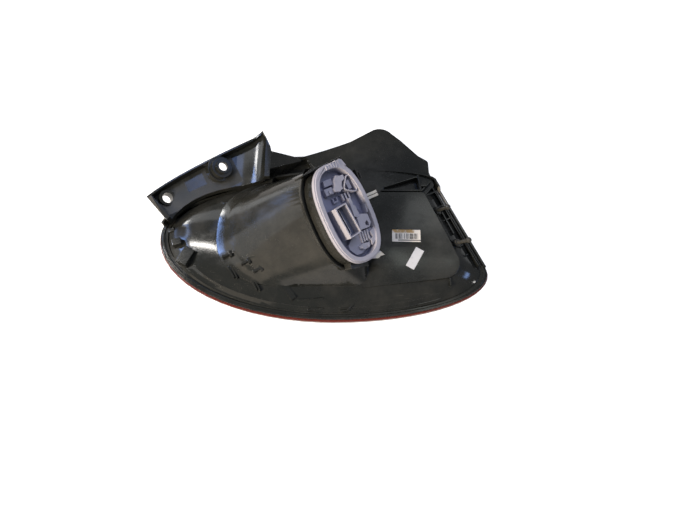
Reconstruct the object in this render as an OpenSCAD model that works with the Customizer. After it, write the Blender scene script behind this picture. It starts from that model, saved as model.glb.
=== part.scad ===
// Rear combination lamp: black housing with a bracket arm and a wing, red lens below,
// and a tilted bulb carrier at the back. Lengths are in millimetres.
// The lens faces down. Places are measured from a point in the rim plane, where the lens meets
// the housing, and the finished lamp is then moved so that the main screw hole is the origin.

/* [Lens outline] */
// Reach of the lens to the left tip
lens_left = 227; // [210:1:250]
// Reach of the lens to the right tip
lens_right = 187; // [175:1:205]
// Reach of the lens to its near edge
lens_near = 87.5; // [80:0.5:100]
// Reach of the lens to its far edge, below the wing
lens_far = 112; // [104:1:118]
// Where the near edge is lowest, across the lamp
near_low_x = -5; // [-20:1:20]
// How far the left tip lies behind the middle
left_tip_y = 23; // [15:1:30]
// How far the right tip lies before the middle
right_tip_y = -29; // [-35:1:-22]
// Where the far edge is highest, across the lamp
far_high_x = 40; // [30:1:50]
// Right end of the far edge
corner_x = 131; // [120:1:140]
// Height of the right end of the far edge
corner_y = 94; // [88:1:100]

/* [Lens] */
// Depth of the lens below the rim plane
lens_depth = 34; // [26:1:42]
// Thickness of the lens
lens_wall = 2.5; // [2:0.1:3.5]
// How far the lens stands out past the housing rim
lens_proud = 2.3; // [1:0.1:3]
// Size of the clear window as a part of the lens outline
window_share = 0.5; // [0.4:0.05:0.6]
// Height of the sealing bead
seal_height = 3; // [2:0.5:4]
// Width of the sealing bead
seal_width = 3; // [2:0.5:4]

/* [Housing] */
// Wall thickness of the housing
wall = 3; // [2.5:0.1:4]
// Thickness of the rim flange
rim_height = 6; // [4:0.5:8]
// Width of the rim flange
rim_width = 10; // [8:0.5:14]
// Height of the ridge on the rim flange
ridge_height = 2; // [1:0.5:4]
// Height of the domed back above the rim plane
dome_height = 20; // [16:1:24]
// Height of the flat panel that carries the labels
panel_height = 28; // [24:1:34]
// How far the near half of the panel slopes down
panel_slope = 5; // [2:1:8]

/* [Axis of the screws, studs and bulb carrier] */
// Lean of the axis towards the near side, in degrees
lean_near = 8; // [4:1:12]
// Lean of the axis towards the right, in degrees
lean_right = 31; // [26:1:35]

/* [Bulb carrier] */
// Place of the carrier's face across the lamp
carrier_x = 13; // [5:1:20]
// Place of the carrier's face along the lamp's depth
carrier_y = 16; // [10:1:22]
// Height of the carrier's face
carrier_z = 90; // [84:1:98]
// Turn of the carrier about its own axis, in degrees
carrier_turn = 33; // [28:1:38]
// Half length of the carrier's flange
carrier_half_long = 59; // [54:0.5:62]
// Half width of the carrier's flange
carrier_half_wide = 34; // [31:0.5:36]
// Width of the raised edge of the carrier
carrier_edge = 6.5; // [5:0.5:8]
// Depth of the recess inside the raised edge
carrier_recess = 13; // [10:0.5:15]
// Thickness of the carrier's plate
carrier_plate = 3; // [2:0.5:4]
// Width of the connector shroud, outside
shroud_wide = 17; // [16:0.5:19]
// Length of the connector shroud, outside
shroud_long = 37; // [34:0.5:40]
// How far the connector shroud stands above the carrier's face
shroud_rise = 7; // [4:0.5:10]
// Wall of the connector shroud
shroud_wall = 1.6; // [1.5:0.1:2.5]
// Thickness of the rubber gasket under the carrier
gasket_height = 2.5; // [2:0.5:3.5]

/* [Barrel] */
// Length of the straight neck below the carrier
neck_length = 20; // [16:1:24]
// How much wider the end of the barrel is than the neck, all round
barrel_shoulder = 4; // [3:0.5:6]
// Left reach of the barrel's foot
foot_left = 151; // [140:1:160]
// Right reach of the barrel's foot
foot_right = 38; // [34:1:46]
// Half width of the barrel's foot
foot_half = 71; // [62:1:74]
// Middle of the barrel's foot along the lamp's depth
foot_mid_y = 20; // [14:1:26]
// Depth of each step round the barrel's left side
step_depth = 3; // [2:0.5:4]

/* [Bulbs] */
// Radius of a bulb's glass
glass_r = 9.5; // [8:0.5:11]
// Radius of a bulb's metal base
base_r = 7.5; // [7:0.25:8.5]
// Length of a bulb's metal base
base_length = 15; // [12:1:18]
// Distance from the end of the base to the middle of the glass
glass_reach = 12; // [10:1:14]
// Clearance round a bulb's base in its socket
socket_clearance = 0.3; // [0.2:0.05:0.4]
// Wall of a bulb socket
socket_wall = 2; // [1.5:0.1:2.5]

/* [Bracket arm] */
// Height of the arm's floor
arm_floor = 20; // [16:1:24]
// Height of the arm's lip above its floor
arm_lip = 9; // [6:1:12]
// Height of the ramp at the arm's right end
ramp_height = 24; // [18:1:30]
// Radius of the main screw boss
boss_r = 9; // [8:0.5:11]
// Radius of the boss's wide foot
boss_foot_r = 17; // [14:0.5:18]
// Height of the main screw boss along its axis
boss_height = 19; // [15:1:24]
// Radius of the main screw hole
main_hole_r = 5.75; // [4:0.25:6.5]
// Thickness of the end wall that holds the main screw
main_seat = 3; // [2:0.5:5]
// Radius of the second screw hole
second_hole_r = 6.5; // [5:0.25:7.5]
// Radius of the ring round the second screw hole
second_ring_r = 10.5; // [9:0.5:12]
// Length of the second screw hole
second_length = 16; // [12:1:20]

/* [Wing] */
// Thickness of the wing
wing_thick = 3; // [2.5:0.5:4]
// Height of the wing's middle above the rim plane
wing_level = 18; // [14:1:22]
// Rise of the wing towards the left, in degrees
wing_rise = 2.5; // [0:0.5:4]

/* [Ball studs] */
// Radius of a stud's ball
ball_r = 3.6; // [3:0.1:4.5]
// Radius of a stud's rod
rod_r = 2.3; // [2:0.1:3]
// Distance from a stud's seat to the middle of its ball
stud_reach = 19; // [15:0.5:24]
// Radius of a stud's collar
collar_r = 4.2; // [3.5:0.1:5]
// Height of a stud's collar
collar_height = 2; // [1.5:0.5:3]

/* [Labels] */
// Length of the barcode label
barcode_long = 35; // [28:1:40]
// Width of the barcode label
barcode_wide = 16; // [12:1:20]
// Length of the plain label
plain_long = 27; // [22:1:32]
// Width of the plain label
plain_wide = 11; // [8:1:14]
// Thickness of a label
label_thick = 0.3; // [0.2:0.1:0.5]

/* [Hidden] */
$fn = 48;
// A little more than a face's depth, so that cuts go right through
over = 1;

// Colours as the object shows them
housing_black = [0.09, 0.095, 0.10];
lens_colour = [0.62, 0.06, 0.04, 0.85];
carrier_grey = [0.66, 0.65, 0.74];
brass_colour = [0.72, 0.60, 0.33];
glass_colour = [0.85, 0.88, 0.9, 0.4];
paper_white = [0.92, 0.92, 0.9];
mirror_grey = [0.8, 0.8, 0.82];

// Direction vectors of the leaning axis and the plane across it
across_x = [cos(lean_right), 0, -sin(lean_right)];
across_y = [sin(lean_near) * sin(lean_right), cos(lean_near), sin(lean_near) * cos(lean_right)];
along = [cos(lean_near) * sin(lean_right), -sin(lean_near), cos(lean_near) * cos(lean_right)];
carrier_at = [carrier_x, carrier_y, carrier_z];

// Places of the screws and studs, measured in the rim plane's frame
main_at = [-148, 106, arm_floor + boss_height * along[2] - main_seat * along[2]];
second_at = [-219.5, 67.5, arm_floor];
stud_upper_at = [127, 49.5, 22];
stud_lower_at = [149, 5.5, 22];
stud_seat = 5;

// Rings of the dome: share of the outline, then share of the dome's height
dome_rings = [[0.95, 0.2], [0.92, 0.37], [0.89, 0.5], [0.845, 0.66], [0.8, 0.78], [0.75, 0.87], [0.7, 0.93],
    [0.65, 0.97], [0.6, 1]];
// Rings of the lens: share of the outline, then share of the lens depth
lens_rings = [[window_share, 0.98], [0.74, 0.92], [0.88, 0.78], [0.96, 0.55], [0.99, 0.3], [1, 0.12],
    [1, 0]];
// Rings of the barrel: share of the way up, share of the steps' depth, and height of the ledge at its foot
barrel_rings = [[0, 0, 0], [0, 0, 4.5], [0, 2.8, 8], [0.05, 2.8, 8], [0.12, 2.8, 8], [0.127, 3.3, 8],
    [0.2, 3.3, 8], [0.35, 3.3, 8], [0.55, 3.3, 8], [0.78, 3.3, 8], [1, 3.3, 8]];
// Turn of the sharp corner at the barrel's foot, how far it winds back on its way up, in degrees,
// and how square it is
corner_turn = 315;
corner_wind = 30;
corner_square = 12;

// Places on the carrier are given for a flange of 34 by 59 and move with its real size
spot_scale = [carrier_half_wide / 34, carrier_half_long / 59];
function spot(place) = [place[0] * spot_scale[0], place[1] * spot_scale[1]];
function spots(places) = [for (place = places) spot(place)];
// Bulb sockets in the carrier: place across and along it
socket_stop = spot([-11, 35]);
socket_turn = spot([12, 14]);
socket_tail = spot([-11, -8]);
socket_reverse = spot([9, -32]);
sockets = [socket_stop, socket_turn, socket_tail, socket_reverse];
// Places of the shroud on the carrier
shroud_at = spot([-10, -8]);
shroud_turn = 6;
terminal_count = 6;
terminal_gap = 4.2;

// Heights along the axis, from the carrier's face down
flange_under = -carrier_edge;
recess_floor = -carrier_recess;
carrier_under = recess_floor - carrier_plate;
neck_top = flange_under - gasket_height;
neck_foot = neck_top - neck_length;

function sign_power(value, power) = sign(value) * pow(abs(value), power);
// One point of an oval with flattened sides
function oval_point(half_x, half_y, square, turn) =
    [half_x * sign_power(cos(turn), 2 / square), half_y * sign_power(sin(turn), 2 / square)];
function oval(half_x, half_y, square, count = 72) =
    [for (step = [0:count - 1]) oval_point(half_x, half_y, square, 360 * step / count)];
// Points of a quarter or longer stretch of an ellipse
function arc(mid, half_x, half_y, from, to, count) =
    [for (step = [0:count]) mid + [half_x * cos(from + (to - from) * step / count),
        half_y * sin(from + (to - from) * step / count)]];
// The lens outline, grown outwards by the given distance
function outline(grow = 0) = concat(
    arc([near_low_x, left_tip_y], lens_left + near_low_x + grow, lens_near + left_tip_y + grow,
        180, 266, 15),
    arc([near_low_x, right_tip_y], lens_right - near_low_x + grow, lens_near + right_tip_y + grow,
        270, 372, 17),
    arc([far_high_x, corner_y], corner_x - far_high_x + grow, lens_far - corner_y + grow, 0, 86, 9),
    arc([far_high_x, left_tip_y], lens_left + far_high_x + grow, lens_far - left_tip_y + grow, 90, 176, 19));
// Points in each ring, the same for the lens, the dome and the barrel
ring_count = len(outline());
outline_mid = [0, 10];
// The lens outline shrunk towards its middle, at a height
function shrunk(share, height, grow = 0) =
    [for (point = outline(grow)) let (place = outline_mid + (point - outline_mid) * share)
        [place[0], place[1], height]];
// A point in the carrier's own frame, given in the rim plane's frame
function carrier_point(place, height) =
    carrier_at + along * height
    + across_x * (place[0] * cos(carrier_turn) - place[1] * sin(carrier_turn))
    + across_y * (place[0] * sin(carrier_turn) + place[1] * cos(carrier_turn));
// Width of the raised lip round the end of the barrel
lip_width = 2;
lip_rise = 4;
// Ring of the barrel at a share of the way from its foot to its end, made smaller by inset
function barrel_ring(share, step_share, inset, height, ledge = 0) =
    [for (step = [0:ring_count - 1]) let (
        turn = 180 + 360 * step / ring_count,
        left = pow(max(0, -cos(turn)), 0.7),
        cut = inset + step_share * step_depth * left,
        square = turn > 270 && turn < 360 ? corner_square : 2.5,
        wind = corner_wind * pow(max(0, cos((turn - corner_turn) * 1.2)), 2),
        foot = oval_point((foot_left + foot_right) / 2 - cut, foot_half - cut, square, turn)
            + [(foot_right - foot_left) / 2, foot_mid_y],
        end = carrier_point(oval_point(
            carrier_half_wide + barrel_shoulder - lip_width / 2 - inset,
            carrier_half_long + barrel_shoulder - lip_width / 2 - inset, 2.6, turn - carrier_turn - wind),
            neck_foot - inset * 2 / 3),
        foot_3d = [foot[0], foot[1], height + ledge * (0.4 + 0.6 * left)])
        foot_3d + (end - foot_3d) * share];

// Closed solid through a list of rings with equal numbers of points; the first ring is the lowest
module stack(rings) {
    count = len(rings[0]);
    last = len(rings) - 1;
    sides = [for (level = [0:last - 1]) for (step = [0:count - 1]) let (next = (step + 1) % count)
        each [[level * count + step, (level + 1) * count + next, level * count + next],
            [level * count + step, (level + 1) * count + step, (level + 1) * count + next]]];
    polyhedron(points = [for (ring = rings) each ring],
        faces = concat([[for (step = [0:count - 1]) step]],
            [[for (step = [count - 1:-1:0]) last * count + step]], sides), convexity = 6);
}

// Closed shell: up through the outer rings and back down through the inner rings
module shell(outer, inner) {
    rings = concat(outer, [for (level = [len(inner) - 1:-1:0]) inner[level]]);
    count = len(rings[0]);
    total = len(rings);
    sides = [for (level = [0:total - 1]) for (step = [0:count - 1]) let (next = (step + 1) % count,
        above = (level + 1) % total)
        each [[level * count + step, above * count + next, level * count + next],
            [level * count + step, above * count + step, above * count + next]]];
    polyhedron(points = [for (ring = rings) each ring], faces = sides, convexity = 8);
}

module band(outer_grow, inner_grow, low, high) {
    translate([0, 0, low]) linear_extrude(high - low) difference() {
        polygon(outline(outer_grow));
        polygon(outline(inner_grow));
    }
}

// Puts its children on the leaning axis at a place
module on_axis(place) {
    translate(place) rotate([lean_near, lean_right, 0]) children();
}

module on_carrier() {
    on_axis(carrier_at) rotate(carrier_turn) children();
}

// Straight bar between two places in a plane, as wide and as high as given
module bar(from, to, width, low, high) {
    run = to - from;
    translate([from[0], from[1], low]) rotate(atan2(run[1], run[0]))
        translate([0, -width / 2, 0]) cube([norm(run), width, high - low]);
}

// The same bar, longer by a part of its width at both ends, so that it grows into its neighbours
module long_bar(from, to, width, low, high) {
    reach = (to - from) / norm(to - from) * width * 0.45;
    bar(from - reach, to + reach, width, low, high);
}

// Point on a smooth curve from one place to another, drawn towards a pull point
function curve(from, pull, to, count) = [for (step = [0:count]) let (share = step / count)
    from * pow(1 - share, 2) + pull * 2 * share * (1 - share) + to * share * share];

// Panel that carries the labels, as an outline grown inwards by the given distance
function panel_outline(inset = 0) = concat(
    [[30, -53 + inset]], arc([129, -21], 20 - inset, 20 - inset, 280, 372, 7),
    arc([106.5, 67], 6 - inset, 6 - inset, 10, 90, 3), [[52, 73 - inset], [30, 40]]);

// Bracket arm seen from above, with its lip and its end pulled in and its near side moved out
function arm_outline(lip_inset = 0, end_inset = 0, near_grow = 0) = let (
    corner_x = (end_inset + 0.95 * lip_inset) / 1.41,
    foot_x = 0.44 * end_inset + 0.74 * near_grow)
    concat(
        curve(arm_corner + [corner_x, corner_x - 1.41 * lip_inset],
            [-208, 101 - lip_inset], ramp_corner - [0, lip_inset], 8),
        [ramp_shoulder - [0, lip_inset / 2], [-86, 89 - near_grow]],
        curve([-87, 89 - near_grow], [-190 + near_grow, 86 - near_grow],
            arm_foot + [foot_x, end_inset - 0.81 * near_grow], 8));
arm_corner = [-243, 66];
arm_foot = [-213, 33];
ramp_corner = [-99, 159];
ramp_shoulder = [-85, 127];
arm_wall = 3.5;
arm_end_wall = 6;
// Depth of the arm's side walls below its floor
arm_skirt = 8;

// Curved profile of the ramp, seen from the near side, lifted by a distance
function ramp_profile(lift) = concat(
    [for (point = arc([-134, arm_floor + ramp_height], 42, ramp_height, 270, 350, 8)) point + [0, lift]],
    [[-86, arm_floor + ramp_height * 0.83 + lift]]);

module ramp_slab(low_lift, high_lift) {
    under = ramp_profile(low_lift);
    upper = ramp_profile(high_lift);
    translate([0, 165, 0]) rotate([90, 0, 0]) linear_extrude(80)
        polygon(concat(under, [for (step = [len(upper) - 1:-1:0]) upper[step]]));
}

module arm_solid() {
    difference() {
        translate([0, 0, arm_floor - arm_skirt]) linear_extrude(arm_skirt + arm_lip) polygon(arm_outline());
        translate([0, 0, arm_floor]) linear_extrude(arm_lip + over)
            polygon(arm_outline(arm_wall, arm_end_wall, 12));
    }
    intersection() {
        linear_extrude(80) polygon(arm_outline());
        ramp_slab(-arm_skirt, 0);
    }
    intersection() {
        linear_extrude(80) difference() {
            polygon(arm_outline());
            polygon(arm_outline(arm_wall, -arm_wall, 30));
        }
        ramp_slab(-arm_skirt, arm_lip * 0.6);
    }
}

// Space below the arm's floor, inside its side walls
module arm_hollow() {
    intersection() {
        translate([0, 0, -over]) linear_extrude(80) polygon(arm_outline(wall, wall, -wall));
        translate([-260, 0, -over]) cube([260 - 86 - wall, 200, 80]);
        union() {
            translate([-260, 0, -over]) cube([260 - 134 + wall, 200, arm_floor - wall + over]);
            translate([wall, 0, -wall]) ramp_slab(-arm_skirt - over, 0);
        }
    }
}

// Space above the panel's surface, lowered by a distance
module above_panel(drop) {
    translate([0, 0, -drop]) {
        translate([20, panel_crease_y - over, panel_height]) cube([150, 80, 20]);
        on_slope([20, -80]) cube([150, 80 + over, 20]);
    }
}

module dome_solid() {
    difference() {
        stack(concat([shrunk(dome_rings[0][0], 0)],
            [for (ring = dome_rings) shrunk(ring[0], ring[1] * dome_height + wall)]));
        wing_ground(wing_thick / 2, 30);
        intersection() {
            above_panel(0);
            linear_extrude(80) polygon(panel_outline());
        }
    }
}

module dome_hollow() {
    shrink = wall / lens_near;
    difference() {
        stack(concat([shrunk(dome_rings[0][0] - shrink, -over)],
            [for (ring = dome_rings) shrunk(ring[0] - shrink, ring[1] * dome_height)]));
        wing_ground(0, 30);
        intersection() {
            above_panel(wall);
            linear_extrude(80) polygon(panel_outline());
        }
    }
}

module barrel_solid() {
    stack(concat([barrel_ring(0, 0, 0, dome_height / 2)],
        [for (ring = barrel_rings) barrel_ring(ring[0], ring[1], 0, dome_height - 1, ring[2])]));
}

module barrel_hollow() {
    stack(concat([barrel_ring(0, 0, wall, 0)],
        [for (ring = barrel_rings) barrel_ring(ring[0], ring[1], wall, dome_height - 1 - wall, ring[2])]));
}

// Straight neck that the carrier sits on, with a groove round its foot
module neck_solid() {
    on_carrier() translate([0, 0, neck_foot - wall]) {
        linear_extrude(neck_length + wall)
            polygon(oval(carrier_half_wide - 1, carrier_half_long - 1, 2.6));
        linear_extrude(wall + lip_rise) difference() {
            polygon(oval(carrier_half_wide + barrel_shoulder, carrier_half_long + barrel_shoulder, 2.6));
            polygon(oval(carrier_half_wide + barrel_shoulder - lip_width,
                carrier_half_long + barrel_shoulder - lip_width, 2.6));
        }
    }
}

module neck_hollow() {
    on_carrier() translate([0, 0, neck_foot - wall - over])
        linear_extrude(neck_length + wall + 2 * over)
            polygon(oval(carrier_half_wide - 1 - wall, carrier_half_long - 1 - wall, 2.6));
}

panel_crease_y = 2;
panel_slope_angle = atan2(panel_slope, 55);

// Puts its children on the near half of the panel, which slopes down from the crease
module on_slope(place, drop = 0) {
    translate([0, panel_crease_y, panel_height - drop]) rotate([panel_slope_angle, 0, 0])
        translate([place[0], place[1], 0]) children();
}

module panel_solid() {
    difference() {
        translate([0, 0, rim_height]) linear_extrude(panel_height - rim_height) polygon(panel_outline());
        on_slope([20, -80]) cube([150, 80, 20]);
    }
}

module panel_hollow() {
    difference() {
        translate([0, 0, -over]) linear_extrude(panel_height - wall + over) polygon(panel_outline(wall));
        on_slope([20, -80], wall) cube([150, 80, 20]);
    }
}

// Puts its children on the wing's underside
module on_wing() {
    translate([0, 0, wing_level]) rotate([0, wing_rise, 0]) children();
}

// Ground between the wing and the panel, where the wing's surface runs on over the dome
module wing_ground(low, high) {
    on_wing() translate([0, 0, low]) linear_extrude(high - low)
        polygon([[140, 60], [140, 130], [-22, 130], [-22, 96], [20, 72], [112, 72]]);
}

module wing() {
    on_wing() linear_extrude(wing_thick)
        polygon(concat(
            curve([-87, 135], [-78, 126], [-62, 126.5], 6),
            curve([-44, 128], [-12, 139], [17, 152], 7),
            arc([57.5, 153], 20.5, 20.5, 118, 42, 10),
            [[85, 156], [108, 132.5]],
            arc([114.5, 121], 6.5, 6.5, 45, 5, 4),
            [[121.2, 108], [127, 89], [113, 72], [30, 70], [-20, 98], [-42, 127]], pocket_edge));
}
// Line where the wing drops into the pocket beside the barrel
pocket_edge = [[-54, 124], [-69, 112], [-86, 97]];

// Deep pocket between the wing and the barrel
module pocket() {
    linear_extrude(rim_height) polygon(concat(
        [[-90, 84], [-20, 90], [-10, 104], [-38, 129]], pocket_edge));
    walls = concat([[-40, 128]], pocket_edge, [[-88, 86]]);
    for (step = [0:len(walls) - 2]) long_bar(walls[step], walls[step + 1], wall, 1, wing_level + 2);
    long_bar([-22, 96], [-41, 128], wall, 1, wing_level + 1);
}

// Web between the ramp's right end and the wing
module shoulder() {
    hull() {
        translate([-88, 96, wing_level]) cube([2, 37, 3]);
        translate([-88, 100, arm_floor + ramp_height * 0.7]) cube([2, 26, 3]);
        translate([-50, 122, wing_level]) cube([2, 4, 3]);
    }
}

// Raised wall along the right edge, with the ribs that tie it to the panel
module right_channel() {
    intersection() {
        union() {
            band(0, -wall, 0, edge_wall_height);
            band(-8.5, -10.5, 0, edge_wall_height + 3);
        }
        translate([100, -22, 0]) cube([100, 112, 60]);
    }
    for (rib = channel_ribs) bar(rib, rib + [17, 7], 2, rim_height, edge_wall_height + 4);
    bar([134, 50], [147, 20], 2, rim_height, edge_wall_height + 6);
    bar([137, -30], [137, -49], 2, rim_height, dome_height);
}
edge_wall_height = 11;
channel_ribs = [[113, 74], [121, 54], [129, 36], [141, -1], [146, -14]];

// Thin ribs, tab and web above the panel's far edge
module panel_gussets() {
    bar([60, 82], [104, 97], 2, wing_level, panel_height - 3);
    bar([104, 98], [107, 74], 2.5, wing_level, panel_height);
    bar([107, 76], [121, 91], 2, wing_level - 2, panel_height - 4);
    bar([55, 75], [107, 75], 2, wing_level, panel_height + 1);
    translate([107, 82, wing_level]) cube([8, 9, panel_height - wing_level - 2]);
}

// Latch plates for the carrier, held by the neck
module carrier_latches() {
    on_carrier() {
        translate([carrier_half_wide - 6, 2, latch_low]) cube([30, 15, latch_thick]);
        bar([-31, carrier_half_long - 2], [28, carrier_half_long + 3.5], 1.6, neck_foot, neck_top);
        translate([-20, -carrier_half_long - 1, latch_low - 1]) rotate(-14) {
            cube([24, 14, 2]);
            translate([0, 0, -14]) cube([2, 16, 15]);
            translate([22, 0, -14]) cube([2, 16, 15]);
        }
        translate([latch_clip_x, latch_clip_y, latch_low]) {
            cube([14, 2, latch_thick]);
            translate([7, 0, 0]) cube([2, 12, latch_thick + 4]);
            translate([12, 0, 0]) cube([2, 9, latch_thick + 2]);
            translate([-1, 10, 0]) cube([9, 2, latch_thick]);
            translate([8, 7, 0]) cube([5, 2, latch_thick + 2]);
        }
    }
}
latch_thick = 4;
latch_low = neck_top - latch_thick;
// Corner of the small clip beside the carrier's far end
latch_clip_x = carrier_half_wide * 0.83;
latch_clip_y = carrier_half_long * 0.52;

// Lugs, wire clips, slats and ledges along the left and near sides
module left_details() {
    translate([-205, 2, rim_height]) rotate(18) cube([11, 9, 15]);
    translate([-186, -24, rim_height]) rotate(63) cube([22, 14, 17]);
    translate([-215, 24, 0]) rotate(20) cube([7, 5, 11]);
    for (clip = wire_clips) {
        translate([clip[0], clip[1], rim_height]) rotate(25) {
            cube([20, 3, clip[2]]);
            translate([9, -3, clip[2] - 4]) cube([3, 8, 5]);
        }
    }
    for (slat = slats) translate([slat[0], slat[1], rim_height]) rotate(-58) cube([16, 2, slat[2]]);
    bar([-64, -48], [-52, -66], 7, rim_height, 22);
    bar([-48, -67], [-17, -63], 2, rim_height, 20);
    bar([-36, -78], [-15, -74], 2, rim_height, 14);
    bar([3, -79], [14, -78], 2, rim_height, 14);
    bar([13, -78], [21, -68], 2, rim_height, 17);
}
// Left end of each wire clip and its height above the rim flange
wire_clips = [[-139, -18, 27], [-115, -28, 30], [-100, -37, 29]];
// Near end of each slat and its height above the rim flange
slats = [[-134, -27, 19], [-130, -28, 19], [-106, -42, 17], [-102, -43, 17]];

// Raised lines that run along the near side, inside the rim: share of the outline and height
near_lines = [[0.93, 10.5], [0.875, 14.6]];

module near_ribs() {
    intersection() {
        for (line = near_lines) linear_extrude(line[1]) difference() {
            polygon([for (point = outline()) outline_mid + (point - outline_mid) * line[0]]);
            polygon([for (point = outline()) outline_mid + (point - outline_mid) * (line[0] - 0.012)]);
        }
        translate([-205, -95, rim_height]) cube([330, 82, 60]);
    }
}

module wing_root() {
    intersection() {
        band(-1, -1 - wall, 0, wing_level + wing_thick / 2);
        translate([-86, 60, 0]) cube([220, 80, 60]);
    }
    intersection() {
        band(-1, -1 - wall, 0, arm_floor - 1);
        translate([-240, 34, 0]) cube([240 - 84, 80, 60]);
    }
}

// Height of the second ring above the arm's floor, so that it stands clear of the floor all round its hole
second_rise = (second_hole_r + 0.6) * norm([along[0], along[1]]) / along[2];

// Stepped boss of the main screw: each step is a radius and a height above the arm's floor
boss_steps = [[boss_foot_r, 8], [boss_r + 4.5, 14.5], [boss_r, boss_height]];

module screw_bosses() {
    on_axis(main_at) translate([0, 0, main_seat - boss_height])
        for (step = boss_steps) translate([0, 0, -wall]) cylinder(r = step[0], h = step[1] + wall);
    on_axis(second_at) translate([0, 0, second_rise - second_length])
        cylinder(r = second_ring_r, h = second_length);
}

// Inside of the stepped boss, open to below
module screw_hollows() {
    on_axis(main_at) translate([0, 0, main_seat - boss_height])
        for (step = boss_steps) translate([0, 0, -boss_height])
            cylinder(r = step[0] - wall + 0.5, h = step[1] - main_seat + boss_height);
}

module screw_holes() {
    on_axis(main_at) translate([0, 0, -over]) cylinder(r = main_hole_r, h = main_seat + 2 * over);
    on_axis(second_at) translate([0, 0, -2 * second_length])
        cylinder(r = second_hole_r, h = 3 * second_length);
}

module stud_mounts() {
    for (place = [stud_upper_at, stud_lower_at]) {
        on_axis(place) {
            translate([0, 0, -16]) cylinder(r = stud_seat, h = 16);
            for (turn = [-20, 160]) rotate(turn) translate([0, -1, -16]) cube([11, 2, 13]);
        }
    }
}

module rim() {
    band(0, -rim_width, 0, rim_height);
    band(-3, -5.5, 0, rim_height + ridge_height);
}

module housing() {
    color(housing_black) difference() {
        union() {
            rim();
            dome_solid();
            barrel_solid();
            neck_solid();
            panel_solid();
            difference() {
                arm_solid();
                arm_hollow();
            }
            wing();
            wing_root();
            pocket();
            shoulder();
            screw_bosses();
            stud_mounts();
            right_channel();
            panel_gussets();
            carrier_latches();
            left_details();
            near_ribs();
        }
        dome_hollow();
        barrel_hollow();
        neck_hollow();
        panel_hollow();
        screw_hollows();
        screw_holes();
    }
}

// Moulded red part of the lens, open in the middle
module lens_red() {
    color(lens_colour) shell(
        [for (ring = lens_rings) shrunk(ring[0], -ring[1] * lens_depth, lens_proud)],
        [for (ring = lens_rings) shrunk(ring[0], -ring[1] * (lens_depth - lens_wall),
            ring[0] == window_share ? lens_proud : lens_proud - lens_wall)]);
}

// Clear window that closes the middle of the lens
module lens_clear() {
    edge = lens_rings[0][1];
    color(glass_colour) stack([
        shrunk(0.04, -lens_depth, lens_proud),
        shrunk(window_share / 2, -lens_depth * (1 + edge) / 2, lens_proud),
        shrunk(window_share, -lens_depth * edge, lens_proud),
        shrunk(window_share, -(lens_depth - lens_wall) * edge, lens_proud),
        shrunk(window_share / 2, -(lens_depth - lens_wall) * (1 + edge) / 2, lens_proud),
        shrunk(0.04, -(lens_depth - lens_wall), lens_proud)]);
}

module lens_seal() {
    color("dimgray") band(lens_proud - lens_wall, lens_proud - lens_wall - seal_width, -seal_height, 0);
}

// Rings of the reflector from its flange up into the neck, moved inwards by a distance
function reflector_rings(inset) = concat(
    [shrunk(1, -inset, 4 - rim_width), shrunk(0.9, -inset, -inset),
        shrunk(0.78, dome_height - 12 - inset, -inset)],
    [for (share = [0, 0.3, 0.65, 1]) barrel_ring(share, 0, funnel_inset + inset, dome_height - 6 - inset)]);
reflector_wall = 1.5;
// Distance from the outside of the barrel to the reflector's funnel
funnel_inset = 8;

module reflector() {
    color(mirror_grey) shell(reflector_rings(0), reflector_rings(reflector_wall));
}

// Flat oval in the carrier's plane, smaller than its flange by the given distance
module carrier_oval(inset, low, high) {
    translate([0, 0, low]) linear_extrude(high - low)
        polygon(oval(carrier_half_wide - inset, carrier_half_long - inset, 2.6));
}

// Inset of the neck's bore from the carrier's flange
neck_bore_inset = 1 + wall;
spigot_clearance = 0.3;

module carrier_body() {
    difference() {
        union() {
            carrier_oval(0, flange_under, -1.5);
            carrier_oval(1.5, flange_under, 0);
            carrier_oval(neck_bore_inset + spigot_clearance, carrier_under, flange_under);
            translate([0, 0, flange_under]) linear_extrude(-flange_under)
                polygon(spots([[2, 54], [17, 60], [20, 58], [23, 50]]));
            for (rib = [0:5]) translate(concat(spot([-5 + rib * 3.6, 52]), flange_under))
                cube([1.8, spot([0, 7.5 - abs(rib - 4) * 0.6])[1], 0.8 - flange_under]);
            translate([carrier_half_wide - 4, 4, -5]) {
                cube([20, 3.1, 3]);
                translate([0, 3.9, 0]) cube([20, 3.1, 3]);
            }
            translate([0, 0, -5.5]) linear_extrude(3)
                polygon(spots([[0, -54], [20, -55], [24, -62], [18, -61], [14, -62], [6, -59]]));
        }
        carrier_oval(carrier_edge, recess_floor, over);
    }
}

// Rectangular connector shroud with a raised floor, and a flat oval well in it for the terminals
module shroud() {
    translate([shroud_at[0], shroud_at[1], 0]) rotate(shroud_turn) {
        difference() {
            translate([-shroud_wide / 2, -shroud_long / 2, recess_floor])
                cube([shroud_wide, shroud_long, shroud_rise - recess_floor]);
            translate([-shroud_wide / 2 + shroud_wall, -shroud_long / 2 + shroud_wall, recess_floor])
                cube([shroud_wide - 2 * shroud_wall, shroud_long - 2 * shroud_wall, shroud_rise + 20]);
        }
        translate([0, 0, recess_floor]) difference() {
            union() {
                translate([-shroud_wide / 2 + 1, -shroud_long / 2 + 1, 0])
                    cube([shroud_wide - 2, shroud_long - 2, collar_rise - 1]);
                translate([-1.5, 0, 0]) linear_extrude(collar_rise) slot_shape(terminal_run + 4, 8);
            }
            translate([-1.5, 0, 0]) linear_extrude(collar_rise + over) slot_shape(terminal_run + 4, 6.4);
        }
    }
}
// Height of the oval collar round the terminals
collar_rise = 10;
terminal_run = (terminal_count - 1) * terminal_gap;

// Slot with round ends, centred, running along Y
module slot_shape(length, width) {
    polygon(concat(arc([0, length / 2], width / 2, width / 2, 0, 180, 16),
        arc([0, -length / 2], width / 2, width / 2, 180, 360, 16)));
}

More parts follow.
